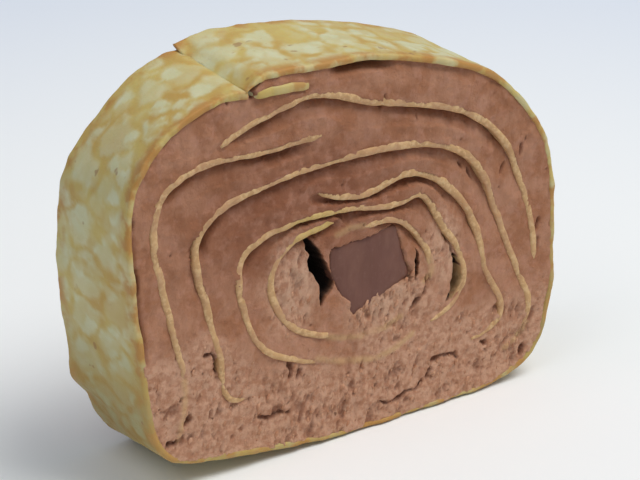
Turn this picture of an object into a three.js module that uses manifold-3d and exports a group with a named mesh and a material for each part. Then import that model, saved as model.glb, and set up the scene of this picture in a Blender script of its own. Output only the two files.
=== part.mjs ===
// A thick slice of a crepe cake roll: thin crepes rolled up round a block of chocolate with
// chocolate cream between them. Millimetres, +Z up. The roll's axis is Y, the shown cut faces -Y,
// and the slice rests on the flat of its outer crepe.

import * as THREE from 'three';
import { mergeVertices } from 'three/addons/utils/BufferGeometryUtils.js';
import Module from 'manifold-3d';

const wasm = await Module();
wasm.setup();
const { CrossSection, Manifold, Mesh: SolidMesh } = wasm;

// Driving sizes
const sliceDepth = 18;
const crepeThickness = 1.0;
const seamGap = 0.3;
const half = sliceDepth / 2;

// How finely the curves are followed
const wrapStep = 1.9;
const sheetStep = 1.6;
const wrapRows = 4;
const longestFacet = 5;

// Centre lines of the crepes in the cut, as [x, z] points through which a smooth curve runs.
// The outer crepe starts at its tucked end, goes round the left side, and ends at its free edge.
const outerCrepe = [
  [-7.5, 55.9], [-12, 56.5], [-16.5, 56.2], [-20.5, 56.1], [-25, 55.1], [-30.4, 53.0], [-35, 48.2],
  [-36.5, 44], [-36.4, 36], [-35.9, 28.5], [-35.1, 21.5], [-34.2, 13.5], [-33.2, 8], [-31.2, 5.4],
  [-27.3, 4.1], [-20.5, 2.9], [-10, 1.4], [-2, 0.55], [5, 0.5], [14, 0.5], [22, 0.55], [28.4, 1.7],
  [32.5, 3.5], [34.5, 6.2], [35.2, 10.2], [36.3, 15], [36.4, 21], [36.2, 28], [35.8, 33.5],
  [34.1, 38.5], [31.9, 42.3], [28.9, 46], [25.5, 49.2], [22.5, 51.2], [15, 54.1], [8, 56.2],
  [3, 57.4], [-2.5, 58], [-9, 58.9], [-13.5, 59.3], [-16.3, 58.9], [-18.6, 58.1],
];
const upperCrepe = [
  [-21.7, 49.8], [-19.7, 51.1], [-14, 52.7], [-9, 53.8], [-6, 54], [-2, 52.8], [2.7, 51],
  [9.7, 49], [18.7, 46.1], [24, 42.7], [27.9, 38], [30, 33], [31.6, 28.6], [32.5, 24], [33, 19],
];
const leftCrepe = [
  [-5.4, 47.8], [-14, 47.6], [-22.9, 47.9], [-28, 47.1], [-31.3, 45], [-32.7, 41], [-32.4, 36],
  [-31, 29], [-29.5, 22], [-28.4, 17.5], [-28.8, 12], [-29.3, 8.5],
];
const middleCrepe = [
  [-16.8, 11.8], [-19.6, 10.9], [-21.6, 11.8], [-22.2, 14.5], [-22.3, 18.5], [-23.7, 23],
  [-24.7, 28], [-26.1, 34], [-26, 37], [-24.3, 39.4], [-21, 41.2], [-15.5, 42.4], [-8.8, 43.2],
  [-2, 43.4], [4.6, 43.3], [11.6, 42.5], [16.5, 41], [20.4, 38.8], [23, 35.5], [25.2, 30.3],
  [27.5, 24], [29.5, 19], [31.4, 14.8], [32.2, 11.8], [31.7, 9], [30.2, 7],
];
const rightCrepe = [
  [-5.6, 39], [-2, 37.7], [1.2, 36.9], [4, 37.1], [8.3, 38.5], [12.8, 37.7], [17.4, 34.3],
  [20.7, 29.8], [22.6, 25.3], [23.4, 21], [25, 17.2], [27.1, 14], [27.3, 11.4], [25.1, 9.9],
  [21.4, 9.2],
];
const coreCrepe = [
  [13.8, 14.2], [17.8, 16], [20.1, 18.6], [19.8, 22], [18, 26], [15.5, 29.5], [13.8, 33.2],
  [12, 35.2], [9.6, 34.4], [6.3, 34.3], [1, 35.3], [-4, 35.7], [-9, 35.9], [-14.3, 35.2],
  [-17.7, 33.8], [-19.3, 31], [-18.7, 26], [-17.4, 21], [-15, 17.6], [-11, 15.2], [-7, 13.7],
  [-3.8, 12.8],
];
const coreLeftCrepe = [
  [-3.2, 34.1], [-7.4, 33.9], [-10.4, 32.9], [-12.8, 31], [-14, 28.5], [-13.7, 25.5],
  [-12.2, 22], [-9.5, 19.2], [-6, 17.4], [-1.5, 16.1],
];
const coreRightCrepe = [
  [1.8, 32.2], [5, 32.4], [8.2, 31.9], [10.5, 29.8], [12.6, 27], [13.9, 23.8], [13.4, 20.6],
];

// The block of chocolate and the gaps round it, as corners in the cut
const chocolateCorners = [
  [-3.6, 30.1], [7.8, 30.9], [10.3, 22.4], [-0.1, 18.3], [-2.9, 24.5], [-3.9, 27],
];
const chocolateRounding = 0.6;
const leftHollow = [
  [-8, 32.6], [-6.8, 32.2], [-5.2, 30], [-4.3, 27.9], [-3.6, 25.3], [-4.7, 23.7], [-5.6, 21.8],
  [-6.2, 25.8], [-7.7, 28.8],
];
const rightHollow = [[18.2, 23.6], [19.6, 20.4], [19.2, 18.4], [16.6, 16.6], [17.5, 18.7], [17.7, 21]];
const slitHollow = [[11.2, 26.4], [11.8, 25], [11.6, 22.5], [11.1, 21], [10.9, 23.5]];
const shownHollowDepth = 9;
const farHollowDepth = 4;

// Torn spots of the cream in the shown cut: [x, z, width, height]
const shownTears = [
  [-13.4, 7.1, 4.6, 0.9], [-28.2, 10.4, 1.4, 1.1], [-30.6, 7.4, 1.8, 1.0], [9, 3.5, 6.4, 0.8],
  [13.6, 6, 1.2, 1.8], [-10.6, 13, 1.1, 2], [-25, 16.6, 1.4, 1.1], [16.5, 7.8, 4.4, 0.7],
  [4, 3.3, 1.8, 1.2], [23.6, 8, 1.2, 1], [-6.5, 3.4, 1.5, 0.8], [11.6, 18.4, 2.6, 1.5],
  [31, 4.6, 1.2, 1.4], [25.8, 13.4, 1, 2.2],
];
const farTearCount = 14;
const tearDepth = 1.1;

// Under the shown cut the left corner hangs clear of the table. At the far cut it comes down to
// the table and tucks in, the side above it swells out, and the shoulder above that sinks in.
const cornerLift = 4.4;
const cornerHeight = 22;
const cornerTuck = 6;
const tuckHeight = 18;
const sideSwell = 1.6;
const swellTop = 43;
const swellFull = 29;
const cornerFrom = -7;
const cornerTo = -33;
const shoulderMiddle = new THREE.Vector2(-33, 52);
const shoulderReach = 7.5;
const shoulderSink = new THREE.Vector2(1.25, -1.45);

// Unevenness
const cutWave = 0.45;
const crumbWave = 0.3;
const crumbTop = 17;
const crepeProud = 0.35;
const underCut = 0.7;
const blister = 0.22;
const edgeCurl = 0.8;
const edgeCurlLength = 6;
const restSnap = 0.3;

// Colours
const crepeColour = 0xd9b777;
const skinColour = 0xdcc98c;
const creamColour = 0xa67767;
const chocolateColour = 0x6e4a47;

// Smooth curves and waves

function smooth(value) {
  const t = THREE.MathUtils.clamp(value, 0, 1);
  return t * t * (3 - 2 * t);
}

function wave(u, v, size, turn) {
  const a = (u * Math.cos(turn) + v * Math.sin(turn)) / size;
  const b = (v * Math.cos(turn) - u * Math.sin(turn)) / size;
  const broad = Math.sin(a * 2.1 + Math.sin(b * 1.3)) * Math.cos(b * 1.9 + turn);
  const narrow = Math.sin(a * 4.7 + turn * 3) * Math.sin(b * 5.3 + Math.cos(a * 2.9));
  return 0.65 * broad + 0.35 * narrow;
}

function seededDraw(seed) {
  let state = seed;
  return function draw() {
    state = (state * 16807) % 2147483647;
    return state / 2147483647;
  };
}

function centreLine(points, step) {
  const knots = points.map(([x, z]) => new THREE.Vector3(x, z, 0));
  const curve = new THREE.CatmullRomCurve3(knots, false, 'centripetal');
  curve.arcLengthDivisions = 800;
  const count = Math.round(curve.getLength() / step);
  const line = curve.getSpacedPoints(count).map((p) => new THREE.Vector2(p.x, p.y));
  return line.map((point, i) => {
    const before = line[Math.max(i - 1, 0)];
    const after = line[Math.min(i + 1, line.length - 1)];
    const along = after.clone().sub(before).normalize();
    return { point, side: new THREE.Vector2(-along.y, along.x), distance: i * step };
  });
}

// The slice isn't quite a prism. Its corner changes along straight lines from the shown cut to the
// far one, so that neighbours keep their gap.

function settle(x, y, z) {
  const back = THREE.MathUtils.clamp((y + half) / sliceDepth, 0, 1);
  const left = smooth((cornerFrom - x) / (cornerFrom - cornerTo));
  const drop = cornerLift * smooth(1 - z / cornerHeight);
  const swell = sideSwell * smooth((swellTop - z) / (swellTop - swellFull));
  const inwards = cornerTuck * smooth(1 - z / tuckHeight) - swell;
  const sink = Math.exp(-((new THREE.Vector2(x, z).distanceTo(shoulderMiddle) / shoulderReach) ** 2));
  const right = left * inwards + sink * shoulderSink.x;
  const up = sink * shoulderSink.y - left * drop;
  return [x + back * right, y, z + back * up];
}

// How far a point of a cut lies behind the flat of the cut

function cutDip(x, z, facing) {
  const turn = facing < 0 ? 0.4 : 2.1;
  const crumbs = crumbWave * smooth((crumbTop - z) / 6) * wave(x, z, 2.6, turn + 1);
  return cutWave * (1 + wave(x, z, 9, turn)) / 2 + crumbs;
}

// Solids

function solidFrom(geometry) {
  const bare = geometry.clone();
  bare.deleteAttribute('normal');
  bare.deleteAttribute('uv');
  const merged = mergeVertices(bare, 1e-5);
  return new Manifold(new SolidMesh({
    numProp: 3,
    vertProperties: new Float32Array(merged.attributes.position.array),
    triVerts: new Uint32Array(merged.index.array),
  }));
}

function geometryFrom(solid) {
  const mesh = solid.getMesh();
  const geometry = new THREE.BufferGeometry();
  const positions = new Float32Array(mesh.numVert * 3);
  for (let i = 0; i < mesh.numVert; i += 1) {
    for (let k = 0; k < 3; k += 1) {
      positions[i * 3 + k] = mesh.vertProperties[i * mesh.numProp + k];
    }
  }
  geometry.setAttribute('position', new THREE.BufferAttribute(positions, 3));
  geometry.setIndex(new THREE.BufferAttribute(mesh.triVerts, 1));
  return geometry;
}

function reshape(geometry, move) {
  const position = geometry.attributes.position;
  for (let i = 0; i < position.count; i += 1) {
    position.setXYZ(i, ...move(position.getX(i), position.getY(i), position.getZ(i)));
  }
  return geometry;
}

// A closed body through a row of rings with equal numbers of points
function loft(rings) {
  const size = rings[0].length;
  const positions = rings.flat(2);
  const index = [];
  for (let i = 0; i + 1 < rings.length; i += 1) {
    for (let k = 0; k < size; k += 1) {
      const a = i * size + k;
      const b = i * size + ((k + 1) % size);
      index.push(a, a + size, b, b, a + size, b + size);
    }
  }
  const last = (rings.length - 1) * size;
  for (let k = 1; k + 1 < size; k += 1) {
    index.push(0, k, k + 1);
    index.push(last, last + k + 1, last + k);
  }
  const geometry = new THREE.BufferGeometry();
  geometry.setAttribute('position', new THREE.Float32BufferAttribute(positions, 3));
  geometry.setIndex(index);
  return geometry;
}

// Even triangles on the flat cuts

// The flat cuts of a body as triangles, with each one's neighbour across the edge from a to b
function flatCuts(geometry) {
  const corners = geometry.attributes.position;
  const places = Array.from({ length: corners.count }, (_, i) => (
    new THREE.Vector3().fromBufferAttribute(corners, i)));
  const triangles = [];
  for (let i = 0; i < geometry.index.count; i += 3) {
    triangles.push([0, 1, 2].map((k) => geometry.index.getX(i + k)));
  }
  const flat = triangles.map((triangle) => (
    Math.abs(triangle.reduce((sum, i) => sum + places[i].y, 0)) > 3 * half - 0.01));
  return { places, triangles, flat };
}

function edgeMap({ triangles, flat }) {
  const edges = new Map();
  triangles.forEach((triangle, t) => {
    if (flat[t]) triangle.forEach((a, k) => edges.set(`${a} ${triangle[(k + 1) % 3]}`, t));
  });
  return edges;
}

function cornerAngle(places, at, first, second) {
  const one = places[first].clone().sub(places[at]);
  return one.angleTo(places[second].clone().sub(places[at]));
}

// An edge between two flat triangles is turned where that makes them less pointed
function turnEdges(cuts) {
  const { places, triangles } = cuts;
  const edges = edgeMap(cuts);
  let turned = 0;
  for (const [edge, first] of [...edges]) {
    const [a, b] = edge.split(' ').map(Number);
    const second = edges.get(`${b} ${a}`);
    if (second === undefined || edges.get(edge) !== first) continue;
    const c = triangles[first].find((i) => i !== a && i !== b);
    const d = triangles[second].find((i) => i !== a && i !== b);
    const facing = cornerAngle(places, c, a, b) + cornerAngle(places, d, a, b);
    if (facing < Math.PI + 1e-3 || edges.has(`${c} ${d}`) || edges.has(`${d} ${c}`)) continue;
    triangles[first] = [a, d, c];
    triangles[second] = [d, b, c];
    edges.delete(edge);
    edges.delete(`${b} ${a}`);
    for (const t of [first, second]) {
      triangles[t].forEach((i, k) => edges.set(`${i} ${triangles[t][(k + 1) % 3]}`, t));
    }
    turned += 1;
  }
  return turned;
}

function splitLongEdges(cuts) {
  const { places, triangles, flat } = cuts;
  const edges = edgeMap(cuts);
  const touched = new Set();
  for (const [edge, first] of edges) {
    const [a, b] = edge.split(' ').map(Number);
    const second = edges.get(`${b} ${a}`);
    if (second === undefined || touched.has(first) || touched.has(second)) continue;
    if (places[a].distanceTo(places[b]) < longestFacet) continue;
    const c = triangles[first].find((i) => i !== a && i !== b);
    const d = triangles[second].find((i) => i !== a && i !== b);
    const middle = places.push(places[a].clone().lerp(places[b], 0.5)) - 1;
    triangles[first] = [a, middle, c];
    triangles[second] = [a, d, middle];
    triangles.push([middle, b, c], [middle, d, b]);
    flat.push(true, true);
    touched.add(first).add(second);
  }
}

function evenOutCuts(geometry) {
  const cuts = flatCuts(geometry);
  for (let round = 0; round < 4; round += 1) {
    while (turnEdges(cuts) > 0);
    splitLongEdges(cuts);
  }
  while (turnEdges(cuts) > 0);
  const even = new THREE.BufferGeometry();
  const positions = cuts.places.flatMap((place) => place.toArray());
  even.setAttribute('position', new THREE.Float32BufferAttribute(positions, 3));
  even.setIndex(cuts.triangles.flat());
  return even;
}

// Crepes

// One crepe: a strip across its thickness at each station, from the shown cut to the far one
function crepe(line, rows, lift) {
  const rings = line.map(({ point, side, distance }, i) => {
    const taper = i === 0 || i === line.length - 1 ? 0.6 : 1;
    const reach = (crepeThickness / 2) * taper;
    const ring = [];
    for (const direction of [1, -1]) {
      for (let row = 0; row <= rows; row += 1) {
        const across = direction > 0 ? row / rows : 1 - row / rows;
        const facing = across < 0.5 ? -1 : 1;
        const atCut = row === 0 || row === rows;
        const ragged = crepeProud * (0.6 + 0.4 * wave(distance, facing * 9, 3, 0.8));
        const edge = half + ragged - cutDip(point.x, point.y, facing);
        const y = atCut ? facing * edge : (across - 0.5) * sliceDepth;
        const [out, swell] = lift(distance, across, direction);
        const x = point.x + side.x * (direction * reach + out + swell * direction);
        const z = point.y + side.y * (direction * reach + out + swell * direction);
        ring.push(settle(x, y, z));
      }
    }
    return ring;
  });
  return loft(rings);
}

function innerCrepe(points) {
  return crepe(centreLine(points, sheetStep), 1, () => [0, 0]);
}

// The outer crepe has soft blisters on its skin, and its free edge curls up towards the far cut.
// The outside is on the right, looking along the line.
function wrapCrepe() {
  const line = centreLine(outerCrepe, wrapStep);
  const length = line[line.length - 1].distance;
  const tucked = 16;
  const geometry = crepe(line, wrapRows, (distance, across, direction) => {
    const bare = smooth((distance - tucked) / 8);
    const swell = direction < 0 ? blister * bare * wave(distance, across * sliceDepth, 5, 0.3) : 0;
    const end = smooth(1 - (length - distance) / edgeCurlLength);
    return [-edgeCurl * end * across * across, swell];
  });
  return reshape(geometry, (x, y, z) => [x, y, z < restSnap ? 0 : z]);
}

// Cream

function crossSection(points) {
  return new CrossSection([points], 'NonZero');
}

// The room that a crepe takes up in the cream, with the gap on both sides
function slot(line) {
  const reach = crepeThickness / 2 + seamGap;
  const endGap = seamGap / sheetStep;
  const near = line.map(({ point, side }) => [point.x + side.x * reach, point.y + side.y * reach]);
  const far = line.map(({ point, side }) => [point.x - side.x * reach, point.y - side.y * reach]);
  const stretch = (edge) => {
    const first = edge[0].map((value, k) => value + (value - edge[1][k]) * endGap);
    const last = edge.at(-1).map((value, k) => value + (value - edge.at(-2)[k]) * endGap);
    return [first, ...edge.slice(1, -1), last];
  };
  return crossSection([...stretch(near), ...stretch(far).reverse()]);
}

// Everything inside the outer crepe's closed turn
function insideOfWrap() {
  const turn = centreLine(outerCrepe, wrapStep).filter(({ distance }) => distance > 13);
  return crossSection(turn.map(({ point }) => [point.x, point.y]));
}

function largestPiece(section) {
  const pieces = section.decompose();
  return pieces.reduce((best, piece) => (piece.area() > best.area() ? piece : best));
}

function creamSection(sheets) {
  const narrowest = 0.28;
  let section = insideOfWrap().subtract(slot(centreLine(outerCrepe, wrapStep)));
  for (const points of sheets) {
    section = section.subtract(slot(centreLine(points, sheetStep)));
  }
  section = section.subtract(crossSection(chocolateCorners).offset(seamGap, 'Miter'));
  const opened = section.offset(-narrowest, 'Miter').offset(narrowest, 'Miter').simplify(0.002);
  return largestPiece(opened);
}

function shapeFrom(contours) {
  const paths = contours.map((contour) => contour.map(([x, z]) => new THREE.Vector2(x, z)));
  const outline = new THREE.Shape(paths.find((path) => !THREE.ShapeUtils.isClockWise(path)));
  const holes = paths.filter((path) => THREE.ShapeUtils.isClockWise(path));
  outline.holes = holes.map((path) => new THREE.Path(path));
  return outline;
}

// A prism of a shape drawn in the cut, from the distance near to the distance far along the roll
function prism(shape, near, far) {
  const geometry = new THREE.ExtrudeGeometry(shape, { depth: far - near, bevelEnabled: false });
  geometry.rotateX(Math.PI / 2);
  geometry.translate(0, far, 0);
  return geometry;
}

function hollowCutters() {
  const cutters = [];
  for (const corners of [leftHollow, rightHollow, slitHollow]) {
    const shape = new THREE.Shape(corners.map(([x, z]) => new THREE.Vector2(x, z)));
    cutters.push(solidFrom(prism(shape, -half - 2, -half + shownHollowDepth)));
    cutters.push(solidFrom(prism(shape, half - farHollowDepth, half + 2)));
  }
  return cutters;
}

function tearCutter([x, z, width, height], facing) {
  const ball = new THREE.SphereGeometry(1, 8, 5);
  ball.rotateX(Math.PI / 2);
  ball.scale(width / 2, tearDepth, height / 2);
  ball.translate(x, facing * half, z);
  return solidFrom(ball);
}

function tearCutters() {
  const draw = seededDraw(5);
  const cutters = shownTears.map((tear) => tearCutter(tear, -1));
  for (let i = 0; i < farTearCount; i += 1) {
    const x = -26 + 52 * ((i + 0.2 + 0.6 * draw()) / farTearCount);
    const z = 3.4 + 6.5 * draw();
    cutters.push(tearCutter([x, z, 1.2 + 2.4 * draw(), 0.8 + 0.8 * draw()], 1));
  }
  return cutters;
}

// The cream lies lowest right under a crepe, where the knife dragged it away
function underCutAt(x, z, lines) {
  let nearest = Infinity;
  let under = 0;
  for (const line of lines) {
    for (const { point } of line) {
      const distance = Math.hypot(x - point.x, z - point.y);
      if (distance < nearest) {
        nearest = distance;
        under = Math.max(0, (point.y - z) / distance);
      }
    }
  }
  return underCut * under * Math.exp(-Math.max(0, nearest - 1) / 1.5);
}

function creamFilling(sheets) {
  const lines = sheets.map((points) => centreLine(points, sheetStep));
  const body = solidFrom(prism(shapeFrom(creamSection(sheets).toPolygons()), -half, half));
  const cut = body.subtract(Manifold.union([...hollowCutters(), ...tearCutters()]));
  return reshape(evenOutCuts(geometryFrom(cut)), (x, y, z) => {
    const facing = Math.sign(y);
    const atCut = Math.abs(y) > half - 0.01;
    const dip = cutDip(x, z, facing) + underCutAt(x, z, lines);
    return settle(x, atCut ? y - facing * dip : y, z);
  });
}

// Chocolate

function chocolateBlock() {
  const outline = crossSection(chocolateCorners).offset(-chocolateRounding, 'Miter');
  const rounded = outline.offset(chocolateRounding, 'Round', 2, 12);
  const block = prism(shapeFrom(rounded.toPolygons()), -half, half);
  return reshape(block, (x, y, z) => {
    const dip = cutDip(x, z, Math.sign(y)) * 0.6;
    return settle(x, y - Math.sign(y) * dip, z);
  });
}

// The slice

function piece(name, geometry, colour) {
  const material = new THREE.MeshStandardMaterial({ color: colour, roughness: 0.75, metalness: 0 });
  const mesh = new THREE.Mesh(geometry, material);
  mesh.name = name;
  return mesh;
}

const innerCrepes = {
  upper_crepe: upperCrepe,
  left_crepe: leftCrepe,
  middle_crepe: middleCrepe,
  right_crepe: rightCrepe,
  core_crepe: coreCrepe,
  core_left_crepe: coreLeftCrepe,
  core_right_crepe: coreRightCrepe,
};

const slice = new THREE.Group();
slice.add(piece('outer_crepe', wrapCrepe(), skinColour));
for (const [name, points] of Object.entries(innerCrepes)) {
  slice.add(piece(name, innerCrepe(points), crepeColour));
}
slice.add(piece('chocolate_cream', creamFilling(Object.values(innerCrepes)), creamColour));
slice.add(piece('chocolate_block', chocolateBlock(), chocolateColour));

// The origin lies under the middle of the slice
const extent = new THREE.Box3().setFromObject(slice, true);
const middle = extent.getCenter(new THREE.Vector3());
slice.position.set(-middle.x, -middle.y, 0);

export default slice;
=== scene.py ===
import math

import bmesh
import bpy
import numpy as np
from mathutils import Matrix, Vector
from mathutils.kdtree import KDTree


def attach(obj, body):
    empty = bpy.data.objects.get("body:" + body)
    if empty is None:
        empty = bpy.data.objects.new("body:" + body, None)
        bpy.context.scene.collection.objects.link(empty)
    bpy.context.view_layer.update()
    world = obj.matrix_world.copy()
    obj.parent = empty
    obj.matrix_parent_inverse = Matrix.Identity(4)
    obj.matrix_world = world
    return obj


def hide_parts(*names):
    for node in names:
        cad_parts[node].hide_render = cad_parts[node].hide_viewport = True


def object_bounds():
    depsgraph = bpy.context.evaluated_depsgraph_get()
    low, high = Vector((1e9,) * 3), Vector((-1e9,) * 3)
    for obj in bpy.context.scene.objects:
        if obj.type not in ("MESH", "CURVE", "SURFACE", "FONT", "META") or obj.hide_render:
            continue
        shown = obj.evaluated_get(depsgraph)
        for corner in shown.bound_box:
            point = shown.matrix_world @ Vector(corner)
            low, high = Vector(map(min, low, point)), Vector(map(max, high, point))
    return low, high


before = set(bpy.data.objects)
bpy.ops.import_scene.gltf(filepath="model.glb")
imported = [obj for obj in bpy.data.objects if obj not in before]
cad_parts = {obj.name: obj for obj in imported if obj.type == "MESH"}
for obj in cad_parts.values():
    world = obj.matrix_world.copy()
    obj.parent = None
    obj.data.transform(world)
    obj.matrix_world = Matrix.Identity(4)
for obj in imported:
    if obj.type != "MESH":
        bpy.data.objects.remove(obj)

cad_low, cad_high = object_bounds()

# Lengths below are in millimetres. Meshes are made in metres.
MM = 0.001

# The slice's cuts lie this far from its middle
HALF_DEPTH = 9.0
# The levels at which the solids' outlines are read
FRONT_READING = -6.0
BACK_READING = 2.5

# Places drawn below count from the middle of the shown cut, this far right of the frame's origin
MIDDLE = 0.49

# How finely the pieces are made
FRONT_CELL = 0.23
SKIN_STEP = 0.4
SHEET_STEP = 0.33
OUTLINE_STEP = 1.0

# Points of an outline closer than this are one
SAME_POINT = 0.05


# Noise

def smooth(value):
    """Rises from 0 to 1 with soft ends, and stays there."""
    t = np.clip(value, 0.0, 1.0)
    return t * t * (3 - 2 * t)


def hump(distance, width):
    """1 at a place, falling softly to 0 on both sides of it."""
    return np.exp(-(distance / width) ** 2)


def lumps(u, v, size, seed):
    """Smooth noise from -1 to 1 in lumps about size across."""
    table = np.random.RandomState(seed).uniform(-1, 1, (256, 256))
    a, b = u / size, v / size
    i, j = np.floor(a).astype(int), np.floor(b).astype(int)
    across, up = smooth(a - i), smooth(b - j)
    here, right = i % 256, (i + 1) % 256
    low, high = j % 256, (j + 1) % 256
    lower = table[here, low] * (1 - across) + table[right, low] * across
    upper = table[here, high] * (1 - across) + table[right, high] * across
    return lower * (1 - up) + upper * up


def rough(u, v, size, seed, octaves=3):
    """Noise from about -1 to 1 with finer noise on top."""
    total = 0
    for k in range(octaves):
        total = total + lumps(u, v, size / 2 ** k, seed + 7 * k) / 2 ** k
    return total / (2 - 2 ** (1 - octaves))


def spots(u, v, size, seed):
    """Distance to the nearest and the next of scattered points, in sizes, and the nearest's own
    random number."""
    table = np.random.RandomState(seed).uniform(0, 1, (64, 64, 3))
    a, b = u / size, v / size
    i, j = np.floor(a).astype(int), np.floor(b).astype(int)
    first = np.full(a.shape, np.inf)
    second = np.full(a.shape, np.inf)
    own = np.zeros(a.shape)
    for step_i in (-1, 0, 1):
        for step_j in (-1, 0, 1):
            place = table[(i + step_i) % 64, (j + step_j) % 64]
            gap = np.hypot(i + step_i + place[..., 0] - a, j + step_j + place[..., 1] - b)
            closer = gap < first
            second = np.where(closer, first, np.minimum(second, gap))
            own = np.where(closer, place[..., 2], own)
            first = np.where(closer, gap, first)
    return first, second, own


# Outlines read from the solids

def section_loops(name, level):
    """The closed outlines of a solid at a level, as arrays of [x, z] in millimetres."""
    body = bmesh.new()
    body.from_mesh(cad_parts[name].data)
    bmesh.ops.remove_doubles(body, verts=body.verts, dist=1e-6)
    everything = body.verts[:] + body.edges[:] + body.faces[:]
    plane = (0, level * MM, 0)
    cut = bmesh.ops.bisect_plane(body, geom=everything, plane_co=plane, plane_no=(0, 1, 0))
    edges = [part for part in cut["geom_cut"] if isinstance(part, bmesh.types.BMEdge)]
    beside = {}
    for edge in edges:
        one, other = edge.verts
        beside.setdefault(one, []).append(other)
        beside.setdefault(other, []).append(one)
    loops = []
    left = set(beside)
    while left:
        loop = []
        following = [min(left, key=lambda vert: tuple(vert.co))]
        while following:
            loop.append(following[0])
            left.discard(following[0])
            following = [vert for vert in beside[loop[-1]] if vert in left]
        loops.append(np.array([(vert.co.x, vert.co.z) for vert in loop]) / MM)
    body.free()
    return loops


def largest_loop(name, level):
    return max(section_loops(name, level), key=len)


def travelled(points):
    """Distance along a line at each of its points."""
    steps = np.linalg.norm(np.diff(points, axis=0), axis=1)
    return np.concatenate([[0], np.cumsum(steps)])


def evenly(points, count):
    """The same open line with count evenly spaced points."""
    along = travelled(points)
    wanted = np.linspace(0, along[-1], count)
    return np.stack([np.interp(wanted, along, points[:, k]) for k in (0, 1)], 1)


def evenly_round(points, count):
    """A closed outline as count evenly spaced points."""
    return evenly(np.vstack([points, points[:1]]), count + 1)[:-1]


def at_level(line, level):
    """Points [x, z] of a line as points of space at one level."""
    return np.stack([line[:, 0], np.full(len(line), level), line[:, 1]], 1)


def sharp_corners(loop):
    """A closed outline without its repeated points, and its four sharpest corners."""
    spaced = [loop[0]]
    for point in loop[1:]:
        if np.linalg.norm(point - spaced[-1]) > SAME_POINT:
            spaced.append(point)
    loop = np.array(spaced)
    before = loop - np.roll(loop, 1, axis=0)
    after = np.roll(before, -1, axis=0)
    sine = before[:, 0] * after[:, 1] - before[:, 1] * after[:, 0]
    turn = np.arctan2(sine, (before * after).sum(1))
    return loop, sorted(np.argsort(-np.abs(turn))[:4])


def strip_line(name, level):
    """The centre line of a crepe where the level cuts it."""
    loop, corners = sharp_corners(largest_loop(name, level))
    sides = []
    for k in range(4):
        first, last = corners[k], corners[(k + 1) % 4]
        run = loop[first:last + 1] if last > first else np.vstack([loop[first:], loop[:last + 1]])
        sides.append(run)
    sides.sort(key=lambda run: -travelled(run)[-1])
    one, other = sides[0], sides[1][::-1]
    count = int(travelled(one)[-1] / OUTLINE_STEP) + 1
    one, other = evenly(one, count), evenly(other, count)
    window = 4
    line = []
    for i, point in enumerate(one):
        near = other[max(0, i - window):i + window + 1]
        closest = near[np.argmin(np.linalg.norm(near - point, axis=1))]
        line.append((point + closest) / 2)
    return np.array(line)


def soften(line, reach):
    """The line with small corners rounded and its ends kept."""
    step = travelled(line)[-1] / (len(line) - 1)
    width = reach / step
    span = int(3 * width) + 1
    offsets = np.arange(-span, span + 1)
    weights = np.exp(-0.5 * (offsets / width) ** 2)
    weights /= weights.sum()
    padded = np.vstack([2 * line[0] - line[span:0:-1], line, 2 * line[-1] - line[-2:-span - 2:-1]])
    return np.stack([np.convolve(padded[:, k], weights, mode="valid") for k in (0, 1)], 1)


class Sheet:
    """A crepe's centre line, which shifts along straight lines from the front to the back."""

    def __init__(self, name, step, reach):
        front = strip_line(name, FRONT_READING)
        back = strip_line(name, BACK_READING)
        if np.linalg.norm(front[0] - back[0]) > np.linalg.norm(front[0] - back[-1]):
            back = back[::-1]
        self.length = travelled(front)[-1]
        count = int(self.length / step) + 1
        fine = 4 * count
        self.front = evenly(soften(evenly(front, fine), reach), count)
        self.back = evenly(soften(evenly(back, fine), reach), count)
        self.along = np.linspace(0, self.length, count)
        self.name = name

    def at(self, level):
        """Centre points at a level."""
        share = (level - FRONT_READING) / (BACK_READING - FRONT_READING)
        return self.front + (self.back - self.front) * share

    def run(self):
        """Unit vectors along the crepe."""
        step = np.gradient(self.at(0), axis=0)
        return step / np.linalg.norm(step, axis=1)[:, None]


# Meshes

def placed(name, data):
    """A new object in the scene."""
    made = bpy.data.objects.new(name, data)
    bpy.context.scene.collection.objects.link(made)
    return made


def new_object(name, points, faces):
    """A smoothly shaded mesh of points in millimetres."""
    mesh = bpy.data.meshes.new(name)
    mesh.from_pydata((np.asarray(points) * MM).tolist(), [], faces)
    mesh.update()
    mesh.polygons.foreach_set("use_smooth", [True] * len(mesh.polygons))
    return placed(name, mesh)


def paint(piece, name, values):
    """Keeps one number for each vertex, for the material to read."""
    layer = piece.data.attributes.new(name, "FLOAT", "POINT")
    layer.data.foreach_set("value", np.asarray(values, np.float32).ravel())


def ring_faces(stations, size):
    """Quads round a tube of rings, with a flat face on each end."""
    first = np.arange(stations - 1)[:, None] * size
    here = first + np.arange(size)
    beside = first + (np.arange(size) + 1) % size
    quads = np.stack([here, here + size, beside + size, beside], 2).reshape(-1, 4)
    ends = [list(range(size)), list(range((stations - 1) * size, stations * size))[::-1]]
    return quads.tolist() + ends


def apply_boolean(piece, cutter, operation):
    """Cuts a piece with another object, which is used up."""
    step = piece.modifiers.new("cut", "BOOLEAN")
    step.operation = operation
    step.solver = "MANIFOLD"
    step.object = cutter
    graph = bpy.context.evaluated_depsgraph_get()
    result = bpy.data.meshes.new_from_object(piece.evaluated_get(graph))
    piece.modifiers.clear()
    piece.data = result
    bpy.data.objects.remove(cutter)


# The sheets of crepe

OUTER = "outer_crepe"
INNER = ["upper_crepe", "left_crepe", "middle_crepe", "right_crepe", "core_crepe",
         "core_left_crepe", "core_right_crepe"]
wrap = Sheet(OUTER, SKIN_STEP, reach=1.3)
inner = {name: Sheet(name, SHEET_STEP, reach=1.4) for name in INNER}

# The wrap runs from its tucked end to its free edge, which is the higher of the two
if wrap.front[0][1] > wrap.front[-1][1]:
    wrap.front, wrap.back = wrap.front[::-1], wrap.back[::-1]

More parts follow.
